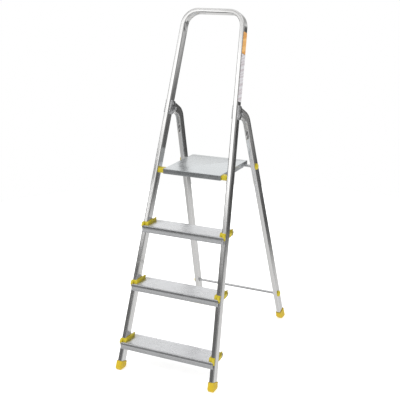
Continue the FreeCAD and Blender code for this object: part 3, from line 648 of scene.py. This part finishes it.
def build_rods():
    """Both cross rods, the caps outside the legs and the rings inside them."""
    shapes = []
    bevel = 1 * MM
    for level in ("lower", "upper"):
        low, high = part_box(f"{level}_cross_rod")
        radius = (high.z - low.z) / 2
        middle = (low + high) / 2
        profile = [(0, low.x), (radius - bevel, low.x), (radius, low.x + bevel),
                   (radius, high.x - bevel), (radius - bevel, high.x), (0, high.x)]
        rod = lathe(profile, axis_matrix((0, middle.y, middle.z), (1, 0, 0)), 32)
        show(from_bmesh(f"{level}_cross_rod_turned", rod, 35), f"{level}_cross_rod")
        climb = middle.z - LEG_FRONT * math.sin(REAR_LEAN)
        along = climb / math.cos(REAR_LEAN) / math.cos(REAR_SPLAY)
        for name, side in SIDES:
            outward = leg_matrix(side).to_3x3() @ Vector((side, 0, 0))
            centre = leg_matrix(side) @ Vector((0, LEG_FRONT, along))
            outer_face = centre + outward * (LEG_WIDTH / 2)
            inner_face = centre - outward * (LEG_WIDTH / 2)
            profile = DOMED_CAP if side > 0 else FLAT_CAP
            cap = lathe(metres(profile), axis_matrix(outer_face, outward))
            show(from_bmesh(f"{level}_rod_cap_{name}_turned", cap, 50), f"{level}_rod_cap_{name}")
            shapes.append(lathe(metres(ROD_RING), axis_matrix(inner_face, -outward), 32))
    show(joined("rod_rings_turned", shapes, 40), "rod_rings")


def build_deck():
    """A tray of folded sheet, open below, with rounded folds and a step at the back of each side."""
    low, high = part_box("platform_deck")
    wall, fold, corner = 1.5 * MM, 2.2 * MM, 2.5 * MM
    plan = round_corners(rectangle(low.x, low.y, high.x, high.y), corner, 3)
    shape = prism(plan, low.z, high.z, Matrix())
    top_edges = [edge for edge in shape.edges
                 if all(abs(vert.co.z - high.z) < 1e-6 for vert in edge.verts)]
    bmesh.ops.bevel(shape, geom=top_edges, offset=fold, segments=4, profile=0.5, affect="EDGES")
    deck = from_bmesh("platform_deck_folded", shape, 35)
    plan = round_corners(rectangle(low.x + wall, low.y + wall, high.x - wall, high.y - wall), 1.5 * MM, 3)
    cutters = [from_bmesh("cutter", prism(plan, low.z - 5 * MM, high.z - wall, Matrix()))]
    # At the back the sides are shallower, where they rest on the upper cross rod.
    step_top = high.z - 14 * MM
    step_front = high.y - 42 * MM
    below = low.z - 10 * MM
    notch = round_corners(rectangle(step_front, below, high.y - wall, step_top), 4 * MM)
    hole_radius, hole_length = 4.05 * MM, 20 * MM
    hole = [(0, 0), (hole_radius, 0), (hole_radius, hole_length), (0, hole_length)]
    for side in (-1, 1):
        ends = sorted((side * (high.x - 6 * MM), side * (high.x + 10 * MM)))
        cutters.append(from_bmesh("cutter", prism(notch, ends[0], ends[1], UPRIGHT)))
        spot = (side * (high.x - 8 * MM), PIVOT.y, PIVOT.z)
        cutters.append(from_bmesh("cutter", lathe(hole, axis_matrix(spot, (side, 0, 0)))))
    carved(deck, cutters)
    show(deck, "platform_deck")


def build_pivots():
    """The moulded blocks between stiles and platform, and the pins through them."""
    margin, past_top = 1 * MM, 1.4
    head_length, head_radius, shank_radius = 3 * MM, 6.4 * MM, 4 * MM
    for name, side in SIDES:
        low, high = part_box(f"platform_pivot_block_{name}")
        inner = min(abs(low.x), abs(high.x))
        outer = stile_outside(PIVOT.z) - STILE_WIDTH
        flip = Matrix.Diagonal((side, 1, 1, 1))
        outline = round_corners(rectangle(low.y, low.z, high.y, high.z), 5 * MM)
        block = prism(outline, inner, outer + 1.2 * MM, flip @ UPRIGHT, 1.4 * MM)
        outline = round_corners(rectangle(low.y + margin, low.z + margin, high.y - margin, high.z - margin),
                                5 * MM)
        boss = prism(outline, outer - 8 * MM, outer + 0.6 * MM, flip @ UPRIGHT, 0.8 * MM, 2)
        item = joined(f"platform_pivot_block_{name}_moulding", [block, boss])
        carved(item, [cutter_box((-STILE_WIDTH / 2, 0, 0), (STILE_WIDTH / 2, STILE_DEPTH, past_top),
                                 stile_matrix(side))])
        show(item, f"platform_pivot_block_{name}")
        low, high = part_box(f"platform_pivot_pin_{name}")
        start = min(abs(low.x), abs(high.x))
        length = high.x - low.x
        spot = (side * (start + head_length), PIVOT.y, PIVOT.z)
        pin = domed_rivet(axis_matrix(spot, (side, 0, 0)), head_radius, head_length, shank_radius,
                          length - head_length)
        show(from_bmesh(f"platform_pivot_pin_{name}_turned", pin, 45), f"platform_pivot_pin_{name}")


def build_labels():
    """Blank stickers with rounded corners, on the right stile's outer face."""
    face = STILE_WIDTH / 2
    under, top = face + 0.02 * MM, face + 0.28 * MM
    to_stile = stile_matrix(1).inverted()
    for node in ("upper_label", "lower_label"):
        corners = [to_stile @ vert.co for vert in frame["nodes"][node].data.vertices]
        lows = [min(corner[axis] for corner in corners) for axis in range(3)]
        highs = [max(corner[axis] for corner in corners) for axis in range(3)]
        outline = round_corners(rectangle(lows[1], lows[2], highs[1], highs[2]), 3 * MM, 4)
        sheet = prism(outline, under, top, stile_matrix(1) @ UPRIGHT)
        show(from_bmesh(f"{node}_film", sheet), node)


# Materials.

class Shader:
    """A node material with one Principled BSDF, and short ways to add to it."""

    def __init__(self, name, colour, metallic, roughness):
        self.material = bpy.data.materials.new(name)
        self.material.use_nodes = True
        self.tree = self.material.node_tree
        self.surface = self.tree.nodes["Principled BSDF"]
        self.surface.inputs["Base Color"].default_value = (*colour, 1)
        self.surface.inputs["Metallic"].default_value = metallic
        self.surface.inputs["Roughness"].default_value = roughness
        self.coordinates = self.tree.nodes.new("ShaderNodeTexCoord")

    def link(self, source, target):
        self.tree.links.new(source, target)

    def noise(self, space, stretch, scale, detail=4.0, roughness=0.55):
        """Cloudy noise from 0 to 1. A large stretch makes it fine along that axis."""
        mapping = self.tree.nodes.new("ShaderNodeMapping")
        mapping.inputs["Scale"].default_value = stretch
        texture = self.tree.nodes.new("ShaderNodeTexNoise")
        texture.inputs["Scale"].default_value = scale
        texture.inputs["Detail"].default_value = detail
        texture.inputs["Roughness"].default_value = roughness
        self.link(self.coordinates.outputs[space], mapping.inputs["Vector"])
        self.link(mapping.outputs["Vector"], texture.inputs["Vector"])
        return texture.outputs["Fac"]

    def spread(self, value, low, high, start=0.3, end=0.7):
        """Maps a value's range from start to end onto low to high."""
        node = self.tree.nodes.new("ShaderNodeMapRange")
        node.inputs["From Min"].default_value = start
        node.inputs["From Max"].default_value = end
        node.inputs["To Min"].default_value = low
        node.inputs["To Max"].default_value = high
        self.link(value, node.inputs["Value"])
        return node.outputs["Result"]

    def blend(self, factor, first, second):
        node = self.tree.nodes.new("ShaderNodeMix")
        node.data_type = "RGBA"
        node.inputs["A"].default_value = (*first, 1)
        node.inputs["B"].default_value = (*second, 1)
        self.link(factor, node.inputs["Factor"])
        return node.outputs["Result"]

    def add(self, first, second):
        node = self.tree.nodes.new("ShaderNodeMath")
        node.operation = "ADD"
        self.link(first, node.inputs[0])
        self.link(second, node.inputs[1])
        return node.outputs["Value"]

    def bump(self, height, distance, strength=1.0):
        node = self.tree.nodes.new("ShaderNodeBump")
        node.inputs["Distance"].default_value = distance
        node.inputs["Strength"].default_value = strength
        self.link(height, node.inputs["Height"])
        self.link(node.outputs["Normal"], self.surface.inputs["Normal"])

    def colour(self, socket):
        self.link(socket, self.surface.inputs["Base Color"])

    def roughness(self, socket):
        self.link(socket, self.surface.inputs["Roughness"])


def polished_tube():
    """Drawn aluminium: fine lines and faint streaks along the tube, and smudges."""
    shader = Shader("polished_tube", (0.80, 0.80, 0.81), 1.0, 0.16)
    drawn = shader.noise("UV", (420, 5, 1), 1.0, 3)
    streak = shader.noise("UV", (170, 2.5, 1), 1.0, 2, 0.6)
    smudge = shader.noise("Object", (1, 1, 1), 14, 5)
    shader.roughness(shader.add(shader.spread(drawn, 0.05, 0.11), shader.spread(smudge, 0.0, 0.09)))
    tone = shader.add(shader.spread(streak, 0.0, 0.7), shader.spread(smudge, 0.0, 0.3))
    shader.colour(shader.blend(tone, (0.69, 0.69, 0.69), (0.88, 0.88, 0.88)))
    shader.bump(shader.add(drawn, shader.spread(streak, 0.0, 3.0)), 0.00004, 0.6)
    return shader.material


def ribbed_tread():
    """Mill-finish extrusion: fine lines along the tread, and smudges."""
    shader = Shader("ribbed_tread", (0.74, 0.75, 0.77), 1.0, 0.36)
    rolled = shader.noise("Object", (6, 260, 260), 1.0, 4)
    smudge = shader.noise("Object", (1, 1, 1), 11, 6, 0.6)
    shader.roughness(shader.add(shader.spread(rolled, 0.20, 0.28), shader.spread(smudge, 0.0, 0.08)))
    shader.colour(shader.blend(smudge, (0.62, 0.63, 0.65), (0.78, 0.79, 0.81)))
    shader.bump(rolled, 0.00004, 0.35)
    return shader.material


def deck_sheet():
    """Rolled sheet: fine lines across the platform, and smudges."""
    shader = Shader("deck_sheet", (0.70, 0.73, 0.75), 1.0, 0.30)
    rolled = shader.noise("Object", (5, 300, 300), 1.0, 4)
    smudge = shader.noise("Object", (1, 1, 1), 9, 6, 0.65)
    shader.roughness(shader.add(shader.spread(rolled, 0.16, 0.26), shader.spread(smudge, 0.0, 0.14)))
    shader.colour(shader.blend(smudge, (0.60, 0.63, 0.65), (0.75, 0.78, 0.80)))
    shader.bump(rolled, 0.00005, 0.5)
    return shader.material


def moulded_plastic(name, dark, light, roughness):
    """Satin plastic: a fine grain and a slow change of tone."""
    shader = Shader(name, light, 0.0, roughness)
    shader.surface.inputs["Subsurface Weight"].default_value = 0.08
    shader.surface.inputs["Subsurface Radius"].default_value = (0.004, 0.002, 0.001)
    grain = shader.noise("Object", (1, 1, 1), 900, 3)
    cloud = shader.noise("Object", (1, 1, 1), 40, 4)
    shader.colour(shader.blend(cloud, dark, light))
    shader.roughness(shader.spread(grain, roughness - 0.06, roughness + 0.10))
    shader.bump(grain, 0.00012, 0.35)
    return shader.material


def zinc_steel():
    """Zinc-plated steel, mottled."""
    shader = Shader("steel_fittings", (0.62, 0.63, 0.65), 1.0, 0.40)
    grain = shader.noise("Object", (1, 1, 1), 260, 5)
    cloud = shader.noise("Object", (1, 1, 1), 30, 5)
    shader.colour(shader.blend(cloud, (0.58, 0.59, 0.61), (0.80, 0.80, 0.81)))
    shader.roughness(shader.spread(grain, 0.18, 0.30))
    shader.bump(grain, 0.00005, 0.3)
    return shader.material


def label_film(name, dark, light, bands):
    """Printed film with plain bands of tone across it and no lettering."""
    shader = Shader(name, light, 0.0, 0.32)
    wave = shader.tree.nodes.new("ShaderNodeTexNoise")
    wave.noise_dimensions = "1D"
    wave.inputs["Scale"].default_value = bands
    wave.inputs["Detail"].default_value = 1.0
    split = shader.tree.nodes.new("ShaderNodeSeparateXYZ")
    shader.link(shader.coordinates.outputs["Object"], split.inputs["Vector"])
    shader.link(split.outputs["Z"], wave.inputs["W"])
    shader.colour(shader.blend(shader.spread(wave.outputs["Fac"], 0, 1, 0.42, 0.58), dark, light))
    grain = shader.noise("Object", (1, 1, 1), 300, 4)
    shader.roughness(shader.spread(grain, 0.24, 0.40))
    shader.bump(grain, 0.00003, 0.3)
    return shader.material


MATERIALS = {
    "polished_tube": polished_tube(),
    "ribbed_tread": ribbed_tread(),
    "deck_sheet": deck_sheet(),
    "yellow_plastic": moulded_plastic("yellow_plastic", (0.49, 0.395, 0.012), (0.56, 0.45, 0.016), 0.38),
    "foot_plastic": moulded_plastic("foot_plastic", (0.53, 0.37, 0.006), (0.61, 0.43, 0.008), 0.42),
    "steel_fittings": zinc_steel(),
    "orange_label": label_film("orange_label", (0.72, 0.34, 0.08), (0.84, 0.48, 0.16), 40),
    "pale_label": label_film("pale_label", (0.55, 0.50, 0.52), (0.70, 0.70, 0.72), 90),
}


# Stage.

# Studio panels for reflections: azimuth (from +Y towards +X) and half width, lowest and highest
# elevation, softness of the sides, of the low edge and of the high edge, all in degrees, and grey.
# A later panel covers an earlier one.
BASE_GREY = 0.80
STUDIO_PANELS = (
    (0, 180, -95, -20, 0, 1, 1.5, 0.76),             # paper on the floor
    (-130, 82, -19, 22, 10, 4, 1.2, 0.15),           # dark room behind the camera and to its left
    (-152, 34, 16.6, 28.5, 10, 2.2, 1.0, 1.46),      # wide softbox above that room
    (-152, 40, 29, 35, 10, 1, 2, 0.66),              # gap above the softbox
    (-152, 50, 36, 57, 10, 2, 1.5, 1.25),            # high softbox
    (-152, 50, 58, 66, 10, 1.5, 2, 0.15),            # gap between softbox and ceiling
    (-156, 6, 13.2, 14.6, 2, 0.5, 0.5, 0.52),        # grey bar under the wide softbox
    (-142.5, 4, 18, 28.5, 1.6, 1, 1, 1.00),          # greyer stripe in the wide softbox
    (-148.0, 4.0, 17.0, 19.8, 1.6, 0.6, 1.2, 0.12),  # dark bar across that softbox's low edge
    (-148.0, 4.6, 13.4, 16.8, 2, 0.6, 0.6, 1.35),    # bright strip under that bar
    (-30, 40, 10, 34, 12, 4, 5, 1.06),               # white wall behind and to the left
    (-86, 26, 2, 62, 10, 4, 6, 0.13),                # dark room to the left
    (138, 36, 4, 45, 12, 4, 5, 0.42),                # grey wall to the right of the camera
    (30, 40, 3, 50, 8, 4, 8, 0.42),                  # grey wall behind and to the right
    (10, 17, -18.5, -3, 1.5, 1.5, 5, 0.06),          # dark gap under the wall behind
    (10, 16.0, -9, -2, 1.0, 1.5, 2.0, 0.05),         # its upper part, with a sharper end
    (28, 30, -66, -40, 8, 4, 3, 0.20),               # shade on the paper behind and to the right
    (-150, 40, -46, -30, 10, 3, 3, 0.48),            # half shade on the paper in front
    (45, 18, -20.5, -10.5, 1.5, 1.5, 3, 0.10),       # dark foot of the wall behind and to the right
    (45, 18, -9.5, 3, 1.5, 2, 6, 0.56),              # grey strip above that foot
    (95, 30, -18, 20, 10, 3, 5, 0.22),               # dark wall to the right
)
PAPER_WHITE = 1.0        # strength of the white dome and paper
STUDIO_TINT = (1.0, 0.995, 0.985)


def build_world():
    """A studio seen only in reflections, made of soft-edged panels that give polished metal its
    contrast. Diffuse light comes from an even white dome, and the camera sees white paper."""
    world = bpy.data.worlds.new("studio")
    bpy.context.scene.world = world
    world.use_nodes = True
    tree = world.node_tree
    link = tree.links.new

    def math_node(operation, *values):
        node = tree.nodes.new("ShaderNodeMath")
        node.operation = operation
        for socket, value in zip(node.inputs, values):
            if isinstance(value, (int, float)):
                socket.default_value = value
            else:
                link(value, socket)
        return node.outputs["Value"]

    def edge(value, low, high):
        """A soft step from 0 to 1."""
        node = tree.nodes.new("ShaderNodeMapRange")
        node.interpolation_type = "SMOOTHSTEP"
        node.inputs["From Min"].default_value = low
        node.inputs["From Max"].default_value = high
        link(value, node.inputs["Value"])
        return node.outputs["Result"]

    coordinates = tree.nodes.new("ShaderNodeTexCoord")
    split = tree.nodes.new("ShaderNodeSeparateXYZ")
    link(coordinates.outputs["Generated"], split.inputs["Vector"])
    elevation = math_node("DEGREES", math_node("ARCSINE", split.outputs["Z"]))
    squares = [math_node("MULTIPLY", split.outputs[axis], split.outputs[axis]) for axis in ("X", "Y")]
    flat = math_node("MAXIMUM", math_node("SQRT", math_node("ADD", *squares)), 0.0001)

    value = math_node("ADD", BASE_GREY, 0.0)
    for azimuth, half, low, high, soft_side, soft_low, soft_high, grey in STUDIO_PANELS:
        east, north = math.sin(math.radians(azimuth)), math.cos(math.radians(azimuth))
        towards = math_node("ADD", math_node("MULTIPLY", split.outputs["X"], east),
                            math_node("MULTIPLY", split.outputs["Y"], north))
        cosine = math_node("MINIMUM", math_node("DIVIDE", towards, flat), 1.0)
        aside = math_node("DEGREES", math_node("ARCCOSINE", cosine))
        mask = edge(elevation, low - soft_low, low + soft_low)
        top = math_node("SUBTRACT", 1.0, edge(elevation, high - soft_high, high + soft_high))
        mask = math_node("MULTIPLY", mask, top)
        if half < 180:
            ends = math_node("SUBTRACT", 1.0, edge(aside, half - soft_side, half + soft_side))
            mask = math_node("MULTIPLY", mask, ends)
        change = math_node("MULTIPLY", mask, math_node("SUBTRACT", grey, value))
        value = math_node("ADD", value, change)
    colour = tree.nodes.new("ShaderNodeCombineColor")
    for channel, tint in zip(("Red", "Green", "Blue"), STUDIO_TINT):
        link(math_node("MULTIPLY", value, tint), colour.inputs[channel])
    studio = tree.nodes["Background"]
    link(colour.outputs["Color"], studio.inputs["Color"])
    path = tree.nodes.new("ShaderNodeLightPath")

    def white():
        node = tree.nodes.new("ShaderNodeBackground")
        node.inputs["Color"].default_value = (1, 1, 1, 1)
        node.inputs["Strength"].default_value = PAPER_WHITE
        return node.outputs["Background"]

    def choose(ray, otherwise, seen):
        """Shows one thing to a kind of ray and another to all the rest."""
        node = tree.nodes.new("ShaderNodeMixShader")
        link(path.outputs[ray], node.inputs["Fac"])
        link(otherwise, node.inputs[1])
        link(seen, node.inputs[2])
        return node.outputs["Shader"]

    reflected = choose("Is Glossy Ray", white(), studio.outputs["Background"])
    link(choose("Is Camera Ray", reflected, white()), tree.nodes["World Output"].inputs["Surface"])


def build_floor():
    """A round sheet of pale matt paper that reflections don't see."""
    reach, thick = 2.6, 10 * MM
    disc = lathe([(0, -thick), (reach, -thick), (reach, 0), (0, 0)], Matrix(), 96)
    floor = from_bmesh("studio_floor", disc)
    shader = Shader("studio_floor", (0.95, 0.95, 0.95), 0.0, 0.9)
    shader.surface.inputs["Specular IOR Level"].default_value = 0.0
    shader.surface.inputs["Emission Color"].default_value = (1, 1, 1, 1)
    shader.surface.inputs["Emission Strength"].default_value = 0.35
    cloud = shader.noise("Object", (1, 1, 1), 2, 2)
    shader.colour(shader.blend(cloud, (0.94, 0.94, 0.94), (0.96, 0.96, 0.96)))
    floor.data.materials.append(shader.material)
    floor.visible_glossy = False


def build_lights():
    """One soft overhead light, from the front left."""
    sky = bpy.data.lights.new("overhead_soft", "SUN")
    sky.energy = 0.9
    sky.angle = math.radians(60)
    item = bpy.data.objects.new("overhead_soft", sky)
    item.matrix_world = axis_matrix((0, 0, 3), (-0.25, -0.45, 1))
    item.visible_glossy = False
    bpy.context.scene.collection.objects.link(item)


def build_camera():
    """The photograph's view, from the front right and above."""
    data = bpy.data.cameras.new("camera")
    data.lens = 75.5
    data.sensor_width = 36
    item = bpy.data.objects.new("camera", data)
    aside, ahead, height = 1.5449, 2.7332, 1.7650
    yaw, pitch, roll = 0.4625, -0.3002, -0.0087      # radians
    turn = (Matrix.Rotation(yaw, 4, "Z") @ Matrix.Rotation(math.pi / 2 + pitch, 4, "X")
            @ Matrix.Rotation(roll, 4, "Z"))
    item.matrix_world = Matrix.Translation((aside, FRONT_Y - ahead, height)) @ turn
    bpy.context.scene.collection.objects.link(item)
    bpy.context.scene.camera = item


build_front_frame()
for tread_number in TREADS:
    build_tread(tread_number)
for side_name, side_sign in SIDES:
    build_leg(side_name, side_sign)
    build_foot(f"front_foot_{side_name}", stile_matrix(side_sign), STILE_WIDTH, STILE_DEPTH,
               FRONT_FOOT_HEIGHT)
    build_foot(f"rear_foot_{side_name}", leg_matrix(side_sign), LEG_WIDTH, LEG_DEPTH,
               REAR_FOOT_HEIGHT)
    build_bracket(side_name, side_sign)
build_rivets()
build_rods()
build_deck()
build_pivots()
build_labels()
build_world()
build_floor()
build_lights()
build_camera()
bpy.context.scene.view_settings.view_transform = "Standard"
